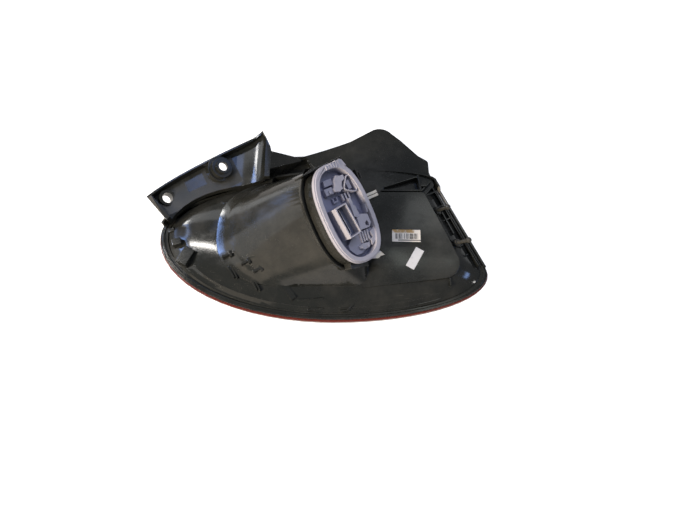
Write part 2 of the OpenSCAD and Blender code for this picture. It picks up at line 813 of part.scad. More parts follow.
// Raised block on the carrier's floor, up to a distance below its face
module block(places, below) {
    translate([0, 0, recess_floor]) linear_extrude(-recess_floor - below) polygon(spots(places));
}

// Raised shapes on the carrier's floor: plates, boxes, ribs and a rounded triangle
module carrier_details() {
    block([[5, 44], [10, 42], [15, 42], [15, 37], [10, 35], [7, 30], [8, 27], [4, 26.5], [3, 25], [0, 26],
        [-4, 27], [-5, 30], [-1, 34], [0, 39]], 2.5);
    block([[-11, 43], [1, 43], [0, 36], [-12, 36]], 7);
    block([[-15, 34], [-4, 34], [-4, 26], [-15, 26]], 6);
    block([[-11, 31], [-8, 31], [-8, 27], [-11, 27]], 4);
    translate([0, 0, recess_floor]) linear_extrude(-recess_floor - 2) difference() {
        rounded_triangle(4);
        rounded_triangle(2.6);
    }
    block([[16, 34], [22, 35], [22, 24], [17, 24]], 6);
    for (rib = [4, 8.5, 13]) block([[rib, 22], [rib + 2, 22], [rib + 2, 14], [rib, 14]], 6);
    hook([-8, 15]);
    block([[9, 15], [12.5, 14], [13, 8], [12, 6], [14.5, 4], [15, -5], [14, -10], [10, -9], [7, -7],
        [8, 0]], 4);
    block([[27, 1], [30, 1], [30, -7], [25, -9]], 3);
    block([[27, 22], [28.5, 20], [28.5, 3], [27, 4]], 5);
    difference() {
        block([[9, -10], [16, -7], [25, -10], [25, -21], [21, -25], [7, -24]], 3);
        translate(concat(spot([19, -20]), recess_floor + 2)) cylinder(r = 2.4, h = 20);
        translate(concat(spot([19, -23]), recess_floor + 2)) cube([2, 6, 20]);
    }
    block([[-1, -25], [24, -26], [25, -32], [20, -41], [12, -46], [-2, -49], [-9, -48], [-15, -39],
        [-14, -34]], 7);
    for (line = [0:3]) block([[4 + line * 3.6, -26], [6 + line * 3.6, -26], [5 + line * 3.4, -38],
        [3 + line * 3.4, -38]], 4.2 - line * 0.2);
    block([[18, -30], [26, -27], [28, -30], [25, -37], [20, -42], [14, -45], [15, -38], [19, -37]], 2.5);
    block([[-3, -40], [4, -39], [13, -41], [11, -46], [3, -46], [-3, -43]], 4.5);
    block([[-1, -41.5], [1, -41.5], [1, -43.5], [-1, -43.5]], 3);
}

// Small open hook that stands on the carrier's floor
module hook(place) {
    translate(concat(spot(place), recess_floor)) linear_extrude(4.5)
        polygon([[0, 0], [7, 1], [7, 6.5], [5.5, 6.5], [5.5, 2.5], [1.5, 2], [1.5, 6], [0, 6]]);
}

// Triangle with corners rounded by a radius, as one outline
module rounded_triangle(radius) {
    corners = spots([[13, 27], [22, 22.5], [20, 36]]);
    polygon([for (step = [0:2]) let (before = corners[(step + 2) % 3], here = corners[step],
        after = corners[(step + 1) % 3],
        from = atan2(here[1] - before[1], here[0] - before[0]) - 90,
        to = atan2(after[1] - here[1], after[0] - here[0]) - 90)
        each arc(here, radius, radius, from, to < from ? to + 360 : to, 8)]);
}

socket_depth = base_length - 3;

module socket_tubes() {
    for (place = sockets) translate([place[0], place[1], carrier_under - socket_depth]) difference() {
        cylinder(r = base_r + socket_clearance + socket_wall, h = socket_depth);
        translate([0, 0, -over]) cylinder(r = base_r + socket_clearance, h = socket_depth + over);
    }
}

module terminal_row(low, high) {
    translate([shroud_at[0], shroud_at[1], 0]) rotate(shroud_turn)
        for (step = [0:terminal_count - 1])
            translate([-2.3, -terminal_run / 2 + step * terminal_gap - 0.4, low])
                cube([1.6, 0.8, high - low]);
}

module bulb_holder() {
    color(carrier_grey) on_carrier() difference() {
        union() {
            carrier_body();
            shroud();
            intersection() {
                carrier_details();
                carrier_oval(carrier_edge - 1, recess_floor - 0.5, 0);
            }
            socket_tubes();
        }
        terminal_row(carrier_under - over, recess_floor + over);
    }
}

module connector_terminals() {
    color(brass_colour) on_carrier() terminal_row(carrier_under, recess_floor + collar_rise - 0.5);
}

// Gasket between the neck's end and the carrier's flange
module holder_gasket() {
    color("black") on_carrier() difference() {
        carrier_oval(1, neck_top, flange_under);
        carrier_oval(neck_bore_inset, neck_top - over, flange_under + over);
    }
}

// Flat contact strip on the underside of the carrier, through a list of places
module contact_strip(places) {
    color(brass_colour) on_carrier() for (step = [0:len(places) - 2])
        bar(spot(places[step]), spot(places[step + 1]), 3, carrier_under - contact_thick, carrier_under);
}
contact_thick = 0.8;

module contact_ground() {
    contact_strip([[-8, -24], [-19, -24], [-24.5, -6], [-24.5, 8]]);
}

module contact_tail() {
    contact_strip([[-9, 6.5], [-19, 13], [-21, 24]]);
}

module contact_stop() {
    contact_strip([[0, 14], [-1, 24], [6, 40]]);
}

module contact_turn() {
    contact_strip([[2, -14], [13, -10], [22, -2]]);
}

module bulb_base(place) {
    color(brass_colour) on_carrier() translate([place[0], place[1], carrier_under - base_length])
        cylinder(r = base_r, h = base_length);
}

// Glass of a bulb: a round bulb with a narrow neck that stands in the base
module bulb_glass(place) {
    color(glass_colour) on_carrier() translate([place[0], place[1], carrier_under - base_length]) {
        rotate_extrude() intersection() {
            union() {
                translate([0, -glass_reach]) circle(glass_r);
                translate([0, -glass_reach]) square([base_r - 1.5, glass_reach]);
            }
            translate([0, -60]) square([60, 60]);
        }
    }
}

module bulb_stop_base() bulb_base(socket_stop);
module bulb_stop_glass() bulb_glass(socket_stop);
module bulb_turn_base() bulb_base(socket_turn);
module bulb_turn_glass() bulb_glass(socket_turn);
module bulb_tail_base() bulb_base(socket_tail);
module bulb_tail_glass() bulb_glass(socket_tail);
module bulb_reverse_base() bulb_base(socket_reverse);
module bulb_reverse_glass() bulb_glass(socket_reverse);

module ball_stud(place) {
    color(housing_black) on_axis(place) {
        cylinder(r = collar_r, h = collar_height);
        cylinder(r = rod_r, h = stud_reach);
        translate([0, 0, stud_reach]) sphere(ball_r);
    }
}

module ball_stud_upper() ball_stud(stud_upper_at);
module ball_stud_lower() ball_stud(stud_lower_at);

module part_label() {
    color(paper_white) translate([85, 12.5, panel_height]) rotate(-1)
        translate([-barcode_long / 2, -barcode_wide / 2, 0]) cube([barcode_long, barcode_wide, label_thick]);
}

module inspection_label() {
    color(paper_white) on_slope([94.5, -18.5]) rotate(60)
        translate([-plain_long / 2, -plain_wide / 2, 0]) cube([plain_long, plain_wide, label_thick]);
}

// Moves the finished lamp so that the main screw hole's mouth is the origin
module settle() {
    translate(-main_at) children();
}

settle() housing();
settle() lens_red();
settle() lens_clear();
settle() lens_seal();
settle() reflector();
settle() bulb_holder();
settle() holder_gasket();
settle() contact_ground();
settle() contact_tail();
settle() contact_stop();
settle() contact_turn();
settle() connector_terminals();
settle() bulb_stop_base();
settle() bulb_stop_glass();
settle() bulb_turn_base();
settle() bulb_turn_glass();
settle() bulb_tail_base();
settle() bulb_tail_glass();
settle() bulb_reverse_base();
settle() bulb_reverse_glass();
settle() ball_stud_upper();
settle() ball_stud_lower();
settle() part_label();
settle() inspection_label();
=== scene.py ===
"""Rear combination lamp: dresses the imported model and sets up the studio."""
import math

import bpy
from bpy.props import FloatProperty, FloatVectorProperty, PointerProperty
from mathutils import Euler, Matrix, Vector


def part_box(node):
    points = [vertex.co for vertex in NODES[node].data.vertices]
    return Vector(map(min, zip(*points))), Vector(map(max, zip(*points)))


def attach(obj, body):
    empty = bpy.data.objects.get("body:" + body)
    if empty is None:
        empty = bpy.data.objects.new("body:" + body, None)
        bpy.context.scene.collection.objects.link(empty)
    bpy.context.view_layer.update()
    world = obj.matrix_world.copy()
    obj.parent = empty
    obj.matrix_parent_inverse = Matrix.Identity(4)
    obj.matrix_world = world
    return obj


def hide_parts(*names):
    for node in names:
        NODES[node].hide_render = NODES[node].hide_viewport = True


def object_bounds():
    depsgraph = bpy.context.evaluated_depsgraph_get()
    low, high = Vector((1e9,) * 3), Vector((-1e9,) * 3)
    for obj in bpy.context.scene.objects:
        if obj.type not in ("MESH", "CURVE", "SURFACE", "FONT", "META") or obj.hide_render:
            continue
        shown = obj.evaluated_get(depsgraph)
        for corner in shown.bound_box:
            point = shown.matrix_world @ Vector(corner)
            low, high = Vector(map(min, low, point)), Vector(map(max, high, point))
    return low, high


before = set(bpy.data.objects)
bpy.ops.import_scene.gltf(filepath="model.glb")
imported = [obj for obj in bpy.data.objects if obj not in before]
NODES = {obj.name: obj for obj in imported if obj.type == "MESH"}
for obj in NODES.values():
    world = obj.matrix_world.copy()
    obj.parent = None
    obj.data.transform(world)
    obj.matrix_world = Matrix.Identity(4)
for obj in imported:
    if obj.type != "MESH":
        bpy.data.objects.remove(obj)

bl_info = {
    "name": "Rear Combination Lamp",
    "version": (1, 0, 0),
    "blender": (4, 5, 0),
    "location": "View3D > Sidebar > Lamp",
    "description": "Builds a rear combination lamp on its measured frame",
    "category": "Object",
}

CAD_BOX = [list(corner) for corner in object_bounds()]
# The middle of the rim plane, measured from the main screw hole
RIM = Vector((0.148, -0.106, -0.033581))
# The carrier's middle and its turned frame, with z out of its face
CARRIER_AT = Vector((0.161, -0.090, 0.056419))
CARRIER_LEAN = Euler((math.radians(8), math.radians(31), 0)).to_matrix()
CARRIER_FRAME = CARRIER_LEAN @ Matrix.Rotation(math.radians(33), 3, "Z")

# Loose triangles are joined over this distance, and faces this near to flat are made whole
JOIN_DISTANCE, FLAT_DEGREES = 2e-6, 0.2
# Edges sharper than this are rounded, and the faces between them are smoothed up to the others
EDGE_DEGREES, MOULDED_DEGREES, TURNED_DEGREES = 40, 32, 40


class LampFinish(bpy.types.PropertyGroup):
    """Finishes of the lamp's plastics, labels and metal"""
    black: FloatVectorProperty(
        name="Housing black", description="Clean black plastic of the housing",
        subtype="COLOR", size=3, min=0, max=1, default=(0.011, 0.012, 0.011))
    dust: FloatVectorProperty(
        name="Housing dust", description="Dry dust on the housing",
        subtype="COLOR", size=3, min=0, max=1, default=(0.090, 0.084, 0.072))
    scuff: FloatVectorProperty(
        name="Scuffs", description="Pale scuffs and worn edges",
        subtype="COLOR", size=3, min=0, max=1, default=(0.19, 0.18, 0.16))
    carrier: FloatVectorProperty(
        name="Carrier grey", description="Pale plastic of the bulb carrier",
        subtype="COLOR", size=3, min=0, max=1, default=(0.43, 0.415, 0.465))
    lens: FloatVectorProperty(
        name="Lens red", description="Red of the lens",
        subtype="COLOR", size=3, min=0, max=1, default=(0.155, 0.026, 0.018))
    paper: FloatVectorProperty(
        name="Paper", description="White of the labels",
        subtype="COLOR", size=3, min=0, max=1, default=(0.78, 0.73, 0.66))
    brass: FloatVectorProperty(
        name="Brass", description="Contacts and bulb bases",
        subtype="COLOR", size=3, min=0, max=1, default=(0.72, 0.52, 0.24))


class LampSizes(bpy.types.PropertyGroup):
    """Small sizes that the moulding's finish needs"""
    edge: FloatProperty(
        name="Moulded edge", description="Radius on the housing's edges",
        subtype="DISTANCE", unit="LENGTH", default=0.00045)
    carrier_edge: FloatProperty(
        name="Carrier edge", description="Radius on the carrier's edges",
        subtype="DISTANCE", unit="LENGTH", default=0.0004)


def alone(piece):
    """Deselects everything and makes one object the active one."""
    bpy.ops.object.select_all(action="DESELECT")
    piece.select_set(True)
    bpy.context.view_layer.objects.active = piece


def add_modifier(piece, kind, **values):
    """Adds a modifier with its values and applies it."""
    alone(piece)
    modifier = piece.modifiers.new(kind.title(), kind)
    for key, value in values.items():
        setattr(modifier, key, value)
    bpy.ops.object.modifier_apply(modifier=modifier.name)


def merged_copy(node, name):
    """A copy of a CAD node with its loose triangles joined and its flat faces made whole."""
    piece = bpy.data.objects.new(name, NODES[node].data.copy())
    bpy.context.scene.collection.objects.link(piece)
    alone(piece)
    if piece.data.has_custom_normals:
        bpy.ops.mesh.customdata_custom_splitnormals_clear()
    bpy.ops.object.mode_set(mode="EDIT")
    bpy.ops.mesh.select_mode(type="FACE")
    bpy.ops.mesh.select_all(action="SELECT")
    bpy.ops.mesh.remove_doubles(threshold=JOIN_DISTANCE)
    bpy.ops.mesh.dissolve_limited(angle_limit=math.radians(FLAT_DEGREES))
    bpy.ops.object.mode_set(mode="OBJECT")
    return piece


def smooth(piece, degrees):
    """Smooths a piece's faces, apart from edges sharper than the angle."""
    alone(piece)
    bpy.ops.object.shade_smooth_by_angle(angle=math.radians(degrees))


def round_edges(piece, width):
    """Rounds a moulding's edges and smooths the faces between them."""
    add_modifier(piece, "BEVEL", width=width, segments=2, limit_method="ANGLE",
                 angle_limit=math.radians(EDGE_DEGREES), use_clamp_overlap=False, miter_outer="MITER_ARC")
    smooth(piece, MOULDED_DEGREES)
    add_modifier(piece, "WEIGHTED_NORMAL", keep_sharp=True, weight=60)


def finish_piece(piece, material, replaced):
    """Gives a piece its material and puts it in the place of the nodes that it replaces."""
    piece.data.materials.clear()
    piece.data.materials.append(material)
    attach(piece, "root")
    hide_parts(*replaced)


def scaled(colour, *shares):
    """A colour times one share, or times a share for each channel."""
    return tuple(share * channel for share, channel in zip(shares * 3, colour))


class Sheet:
    """A material's nodes, added one by one and linked by name."""

    def __init__(self, name):
        self.material = bpy.data.materials.new(name)
        self.material.use_nodes = True
        self.tree = self.material.node_tree
        self.shader = self.tree.nodes["Principled BSDF"]
        self.place = self.add("ShaderNodeTexCoord").outputs["Object"]

    def add(self, kind, links=(), **settings):
        """A node with its settings, fed by the given sockets."""
        node = self.tree.nodes.new(kind)
        for key, value in settings.items():
            setattr(node, key, value)
        for socket, source in dict(links).items():
            self.tree.links.new(source, node.inputs[socket])
        return node

    def feed(self, node, socket, value):
        """Links a node's input to a socket, or sets it to a value."""
        if hasattr(value, "links"):
            self.tree.links.new(value, node.inputs[socket])
        else:
            node.inputs[socket].default_value = value

    def link(self, source, socket):
        """Links a socket to the material's shader."""
        self.tree.links.new(source, self.shader.inputs[socket])

    def uniform(self, **values):
        """Sets inputs of the shader that are the same all over the piece."""
        for key, value in values.items():
            self.shader.inputs[key.replace("_", " ")].default_value = value

    def noise(self, scale, detail=4, rough=0.6, stretch=(1, 1, 1), turn=(0, 0, 0), move=(0, 0, 0)):
        """Noise from 0 to 1 over the piece, stretched and turned."""
        mapping = self.add("ShaderNodeMapping", {"Vector": self.place})
        for socket, value in (("Scale", stretch), ("Rotation", turn), ("Location", move)):
            mapping.inputs[socket].default_value = value
        node = self.add("ShaderNodeTexNoise", {"Vector": mapping.outputs[0]})
        for socket, value in (("Scale", scale), ("Detail", detail), ("Roughness", rough)):
            node.inputs[socket].default_value = value
        return node.outputs["Fac"]

    def ramp(self, source, low, high, dark=0.0, light=1.0):
        """A smooth step from dark at the low value to light at the high one."""
        node = self.add("ShaderNodeMapRange", {"Value": source}, interpolation_type="SMOOTHSTEP")
        for socket, value in (("From Min", low), ("From Max", high), ("To Min", dark), ("To Max", light)):
            node.inputs[socket].default_value = value
        return node.outputs["Result"]

    def patches(self, scale, low, high, dark=0.0, light=1.0, **shape):
        """Noise cut into patches between two of its levels."""
        return self.ramp(self.noise(scale, **shape), low, high, dark, light)

    def math(self, operation, result, *others):
        """One operation over sockets and numbers, from left to right."""
        for other in others:
            node = self.add("ShaderNodeMath", operation=operation)
            self.feed(node, 0, result)
            self.feed(node, 1, other)
            result = node.outputs[0]
        return result

    def mix(self, share, first, second):
        """A blend of two colours."""
        node = self.add("ShaderNodeMix", data_type="RGBA")
        self.feed(node, 0, share)
        for socket, colour in ((6, first), (7, second)):
            self.feed(node, socket, (*colour, 1) if isinstance(colour, tuple) else colour)
        return node.outputs[2]

    def seen_from(self, middle, turned):
        """The place on the piece, measured in a turned frame."""
        back = turned.transposed()
        mapping = self.add("ShaderNodeMapping", {"Vector": self.place})
        mapping.inputs["Location"].default_value = back @ -Vector(middle)
        mapping.inputs["Rotation"].default_value = back.to_euler()
        return mapping.outputs[0]

    def parts(self, place):
        """The coordinates X, Y and Z of a place."""
        return self.add("ShaderNodeSeparateXYZ", {"Vector": place}).outputs

    def within(self, value, low, high, edge):
        """1 between two values, 0 outside, with soft edges."""
        above = self.ramp(value, low - edge, low + edge)
        return self.math("MULTIPLY", above, self.ramp(value, high + edge, high - edge))

    def level(self, low, high, edge=0.0006):
        """1 between two heights, 0 outside."""
        return self.within(self.parts(self.place)["Z"], low, high, edge)

    def field(self, middle, turn, half_long, half_wide, edge=0.0006):
        """1 inside a turned rectangle seen along z, 0 outside."""
        seen = self.seen_from((*middle, 0), Matrix.Rotation(math.radians(turn), 3, "Z"))
        parts = self.parts(seen)
        sides = [self.ramp(self.math("ABSOLUTE", parts[axis], 0), half + edge, half - edge)
                 for axis, half in (("X", half_long), ("Y", half_wide))]
        return self.math("MULTIPLY", *sides)

    def bump(self, height, strength, distance):
        """Fine relief in the shader's normal."""
        node = self.add("ShaderNodeBump", {"Height": height})
        node.inputs["Strength"].default_value = strength
        node.inputs["Distance"].default_value = distance
        self.link(node.outputs[0], "Normal")


# Painted highlights: pale strips on the housing: middle, turn in degrees, half length, half width, strength
HIGHLIGHT_STRIPS = (
    ((-0.0825, -0.0545), -56, 0.017, 0.0034, 0.45),
    ((0.2848, -0.0323), -63, 0.0125, 0.0020, 1.5),
)
# Polished field on the arm's floor, and the dull floor round it: middle, turn, half length, half width
POLISHED = ((-0.0384, -0.0135), 27.8, 0.0128, 0.0114)
DULL = ((-0.040, -0.014), 27.8, 0.058, 0.030)
ARM_FLOOR = (-0.0150, -0.0125)
# Dusty spot between the dome's left clips, with its soft edge
DUSTY_SPOT = ((-0.0507, -0.0827), 0, 0.008, 0.008, 0.004)
# How much rougher smudges, dust, scratches and dull places are, and the gloss that dust takes away
SMUDGE_ROUGH, FILM_ROUGH, LINE_ROUGH, DULL_ROUGH = 0.13, 0.22, 0.25, 0.3
CLEAN_SPECULAR, SPOT_SPECULAR = 0.5, 0.42


def worn_plastic(name, clean, dust, scuff, gloss=0.10, dust_share=0.32, scratch=1.0, marked=False):
    """Black moulded plastic with a thin film of dust, smudges, fine scratches and specks."""
    sheet = Sheet(name)
    film = sheet.patches(9, 0.40, 0.75, 0, dust_share, detail=7, rough=0.7)
    specks = sheet.math("MULTIPLY", sheet.patches(700, 0.66, 0.74, 0, 0.5, detail=2, rough=0.5),
                        sheet.patches(26, 0.48, 0.62, detail=3))
    long_lines = sheet.patches(34, 0.735, 0.78, 0, 0.26 * scratch, detail=2, rough=0.4,
                               stretch=(1, 36, 6), turn=(0.2, 0.1, 0.9))
    cross_lines = sheet.patches(38, 0.745, 0.79, 0, 0.22 * scratch, detail=2, rough=0.4,
                                stretch=(1, 40, 6), turn=(0.1, 0.3, -0.5))
    scratched = sheet.patches(12, 0.50, 0.60, detail=3, rough=0.5, move=(0.3, 0.1, 0))
    lines = sheet.math("MULTIPLY", sheet.math("MAXIMUM", long_lines, cross_lines), scratched)
    smudge = sheet.patches(20, 0.42, 0.70, detail=6, rough=0.65, stretch=(1, 1.6, 1), turn=(0.3, 0.2, 0.6))
    colour = sheet.mix(sheet.math("ADD", film, specks), clean, dust)
    rough = sheet.math("ADD", sheet.math("MULTIPLY", smudge, SMUDGE_ROUGH), gloss,
                       sheet.math("MULTIPLY", film, FILM_ROUGH), sheet.math("MULTIPLY", lines, LINE_ROUGH))
    if marked:
        # Painted highlights: the strips are lightened with the scuff colour
        for *place, strength in HIGHLIGHT_STRIPS:
            ragged_highlight = sheet.math("MULTIPLY", sheet.field(*place), sheet.patches(240, 0.34, 0.5, 0.5, 1))
            colour = sheet.mix(ragged_highlight, colour, scaled(scuff, strength))
        dull = sheet.math("MULTIPLY", sheet.level(*ARM_FLOOR), sheet.field(*DULL),
                          sheet.math("SUBTRACT", 1, sheet.field(*POLISHED)))
        spot = sheet.field(*DUSTY_SPOT)
        dull = sheet.math("MAXIMUM", dull, spot)
        rough = sheet.math("ADD", rough, sheet.math("MULTIPLY", dull, DULL_ROUGH))
        lost = sheet.math("MULTIPLY", spot, SPOT_SPECULAR)
        sheet.link(sheet.math("SUBTRACT", CLEAN_SPECULAR, lost), "Specular IOR Level")
    sheet.link(sheet.mix(lines, colour, scuff), "Base Color")
    sheet.link(rough, "Roughness")
    relief = sheet.math("ADD", sheet.noise(90, 2, 0.4), sheet.math("MULTIPLY", lines, 0.4))
    sheet.bump(relief, 0.045, 0.0004)
    return sheet.material


# Places on the carrier in its own frame: middle, turn in degrees, half length, half width, soft edge
# Painted light: the tongues' tops are painted cream as if lit
TONGUES = (((0.0430, 0.0075), 0, 0.0085, 0.0046), ((0.0200, -0.0605), 0, 0.0095, 0.0042))
# Painted shade: the connector's well is painted dark
CONNECTOR = ((-0.010, -0.008), 96, 0.0169, 0.0069, 0.0002)
# Painted highlight: a pale line on the collar's rim
COLLAR = ((-0.0115, -0.0081), 96, 0.0167, 0.0042, 0.0002)
# Heights in the carrier's frame: low, high, soft edge
TONGUE_HEIGHT = (-0.0060, -0.0018, 0.0003)
WELL_HEIGHT = (-0.0150, -0.0036, 0.0002)
COLLAR_HEIGHT = (-0.0036, -0.0026, 0.0002)
# Painted shade: the recess is painted darker and bluer from its top to its floor
RECESS_FLOOR, RECESS_TOP, RECESS_PAINTED_SHADE = -0.0125, -0.0015, 0.85
# Painted light on the tongues, painted shade in the well and a painted highlight on the collar's rim
TONGUE_PAINTED_LIGHT, WELL_PAINTED_SHADE, COLLAR_PAINTED_HIGHLIGHT = (0.62, 0.58, 0.50), (0.10, 0.11, 0.16), (0.66, 0.65, 0.68)
DRY_DIRT = (0.16, 0.14, 0.12)


def carrier_plastic(name, colour):
    """Pale plastic of the carrier with patchy grime, painted shade in its recess and connector well, painted
    light on its tongues, a painted highlight on its collar, and a fine grain.
    """
    sheet = Sheet(name)
    sheet.place = sheet.seen_from(CARRIER_AT, CARRIER_FRAME)
    grime = sheet.patches(45, 0.5, 0.75, 0, 0.35, detail=5)
    soft = sheet.mix(grime, colour, scaled(colour, 0.55))
    # Painted shade, darker and bluer towards the recess's floor
    painted_recess_shade = sheet.ramp(sheet.parts(sheet.place)["Z"], RECESS_FLOOR, RECESS_TOP, RECESS_PAINTED_SHADE, 0)
    soft = sheet.mix(painted_recess_shade, soft, scaled(colour, 0.42, 0.46, 0.62))
    painted_marks = [(TONGUE_HEIGHT, tongue, TONGUE_PAINTED_LIGHT) for tongue in TONGUES]
    painted_marks += [(WELL_HEIGHT, CONNECTOR, WELL_PAINTED_SHADE), (COLLAR_HEIGHT, COLLAR, COLLAR_PAINTED_HIGHLIGHT)]
    # Paints the marks' light and shade over the carrier's colour
    for height, place, shade in painted_marks:
        mark = sheet.math("MULTIPLY", sheet.level(*height), sheet.field(*place))
        soft = sheet.mix(mark, soft, shade)
    dirt = sheet.patches(260, 0.62, 0.72, 0, 0.4, detail=3)
    sheet.link(sheet.mix(dirt, soft, DRY_DIRT), "Base Color")
    sheet.link(sheet.patches(60, 0.3, 0.7, 0.36, 0.5), "Roughness")
    sheet.bump(sheet.noise(400, 3, 0.5), 0.08, 0.0003)
    return sheet.material


def red_lens(name, colour):
    """Red plastic, glossy, with fine dust patches over it."""
    sheet = Sheet(name)
    dusty = tuple(0.5 * channel + 0.12 for channel in colour)
    sheet.link(sheet.mix(sheet.patches(180, 0.5, 0.75, 0, 0.25), colour, dusty), "Base Color")
    sheet.link(sheet.patches(40, 0.3, 0.7, 0.1, 0.25), "Roughness")
    sheet.uniform(Coat_Weight=0.6, Coat_Roughness=0.08, Subsurface_Weight=0.15,
                  Subsurface_Radius=(0.004, 0.0008, 0.0005))
    sheet.bump(sheet.noise(120, 2), 0.05, 0.0004)
    return sheet.material


def clear_lens(name):
    """Clear window with fine ribs."""
    sheet = Sheet(name)
    haze = sheet.patches(70, 0.45, 0.75, 0, 0.3)
    sheet.link(sheet.mix(haze, (0.86, 0.88, 0.9), (0.7, 0.68, 0.64)), "Base Color")
    sheet.link(sheet.patches(50, 0.3, 0.7, 0.05, 0.18), "Roughness")
    sheet.uniform(Transmission_Weight=0.85, IOR=1.49)
    waves = sheet.add("ShaderNodeTexWave", {"Vector": sheet.place})
    waves.inputs["Scale"].default_value = 60
    sheet.bump(waves.outputs["Fac"], 0.35, 0.0006)
    return sheet.material


def coated_mirror(name):
    """Mirror coating of the reflector."""
    sheet = Sheet(name)
    sheet.link(sheet.mix(sheet.patches(25, 0.4, 0.7), (0.8, 0.8, 0.82), (0.7, 0.69, 0.68)), "Base Color")
    sheet.link(sheet.patches(30, 0.3, 0.7, 0.1, 0.22), "Roughness")
    sheet.uniform(Metallic=1)
    sheet.bump(sheet.noise(35, 2), 0.1, 0.0005)
    return sheet.material


def bare_metal(name, colour):
    """Stamped metal with dull patches."""
    sheet = Sheet(name)
    sheet.link(sheet.mix(sheet.patches(220, 0.4, 0.7), colour, scaled(colour, 0.6)), "Base Color")
    sheet.link(sheet.patches(160, 0.3, 0.7, 0.22, 0.42), "Roughness")
    sheet.uniform(Metallic=1)
    sheet.bump(sheet.noise(500, 2), 0.08, 0.0002)
    return sheet.material


def bulb_glass(name):
    """Thin clear glass of the bulbs."""
    sheet = Sheet(name)
    haze = sheet.patches(90, 0.5, 0.8, 0, 0.2)
    sheet.link(sheet.mix(haze, (0.95, 0.96, 0.97), (0.8, 0.8, 0.78)), "Base Color")
    sheet.link(sheet.patches(60, 0.3, 0.7, 0.01, 0.06), "Roughness")
    sheet.uniform(Transmission_Weight=0.95, IOR=1.3)
    return sheet.material


def soft_rubber(name):
    """Dull black rubber of the seal and the gasket."""
    sheet = Sheet(name)
    bloom = sheet.patches(120, 0.4, 0.7)
    sheet.link(sheet.mix(bloom, (0.012, 0.012, 0.012), (0.04, 0.038, 0.035)), "Base Color")
    sheet.link(sheet.patches(90, 0.3, 0.7, 0.55, 0.75), "Roughness")
    sheet.bump(sheet.noise(300, 3), 0.15, 0.0003)
    return sheet.material


# Layout of the barred label in its own frame, across it and up it: low, high, soft edge
BARS_ACROSS, BARS_UP = (-0.0135, 0.0145, 0.0001), (-0.0043, 0.0029, 0.0001)
RULE_UP = (-0.00665, -0.00525, 0.00005)
# Where the rule starts across the label, and how the tan strip fades in upwards and out across it
RULE_START, TAN_UP, TAN_END = (-0.0102, -0.0100), (0.0036, 0.0041), (0.0110, 0.0080)
# Bars are cut from a random row of this many places in a metre
BARS_PER_METRE = 1150
BAR_INK, RULE_INK, TAN = (0.03, 0.028, 0.026), (0.05, 0.048, 0.045), (0.42, 0.27, 0.11)


def paper_label(name, paper, middle, turn, bars):
    """Paper in the label's own frame, with bars and a stained strip where asked."""
    sheet = Sheet(name)
    parts = sheet.parts(sheet.seen_from(middle, Matrix.Rotation(math.radians(turn), 3, "Z")))
    across, up = parts["X"], parts["Y"]
    colour = sheet.mix(sheet.patches(150, 0.52, 0.7, 0, 0.5, detail=5, rough=0.7), paper, scaled(paper, 0.62))
    if bars:
        step = sheet.math("FLOOR", sheet.math("MULTIPLY", across, BARS_PER_METRE), 0)
        row = sheet.add("ShaderNodeCombineXYZ", {"X": step}).outputs[0]
        random = sheet.add("ShaderNodeTexWhiteNoise", {"Vector": row}).outputs["Value"]
        mark = sheet.math(
            "MULTIPLY", sheet.within(up, *BARS_UP), sheet.within(across, *BARS_ACROSS),
            sheet.ramp(random, 0.36, 0.42), sheet.patches(420, 0.3, 0.62, 1, 0.7, detail=3))
        colour = sheet.mix(sheet.math("MULTIPLY", mark, 0.92), colour, BAR_INK)
        stain = sheet.math("MULTIPLY", sheet.ramp(up, *TAN_UP), sheet.ramp(across, *TAN_END),
                           sheet.patches(230, 0.34, 0.50, 0.30, 1.0))
        colour = sheet.mix(stain, colour, TAN)
        rule = sheet.math("MULTIPLY", sheet.within(up, *RULE_UP), sheet.ramp(across, *RULE_START))
        colour = sheet.mix(sheet.math("MULTIPLY", rule, 0.9), colour, RULE_INK)
    sheet.link(colour, "Base Color")
    sheet.link(sheet.patches(90, 0.3, 0.7, 0.45, 0.65), "Roughness")
    sheet.bump(sheet.noise(350, 4), 0.12, 0.0003)
    return sheet.material


# Each label's node, material, turn in degrees, share of the paper's colour, and whether it has bars
LABELS = (
    ("part_label", "paper_bars", -1, (1.0, 1.0, 1.0), True),
    ("inspection_label", "paper_plain", 60, (0.74, 0.80, 0.93), False),
)


def materials():
    """Every finish of the lamp, made once from the panel's colours."""
    if "housing_black" in bpy.data.materials:
        return bpy.data.materials
    made = bpy.context.scene.lamp_finish
    plastic = [tuple(colour) for colour in (made.black, made.dust, made.scuff)]
    worn_plastic("housing_black", *plastic, marked=True)
    worn_plastic("stud_black", *plastic, gloss=0.32, dust_share=0.8, scratch=0.3)
    carrier_plastic("carrier_grey", tuple(made.carrier))
    red_lens("lens_red_clear", tuple(made.lens))
    clear_lens("lens_window")
    coated_mirror("reflector_coating")
    bare_metal("contact_brass", tuple(made.brass))
    bulb_glass("bulb_clear")
    soft_rubber("gasket_rubber")
    for node, name, turn, shares, bars in LABELS:
        low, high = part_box(node)
        paper_label(name, scaled(made.paper, *shares), (low + high) / 2, turn, bars)
    return bpy.data.materials


class LAMP_OT_housing(bpy.types.Operator):
    """Smooths and edges the black housing"""
    bl_idname = "lamp.housing"
    bl_label = "Housing"

    def execute(self, context):
        piece = merged_copy("housing", "housing_moulding")
        round_edges(piece, context.scene.lamp_sizes.edge)
        finish_piece(piece, materials()["housing_black"], ["housing"])
        return {"FINISHED"}


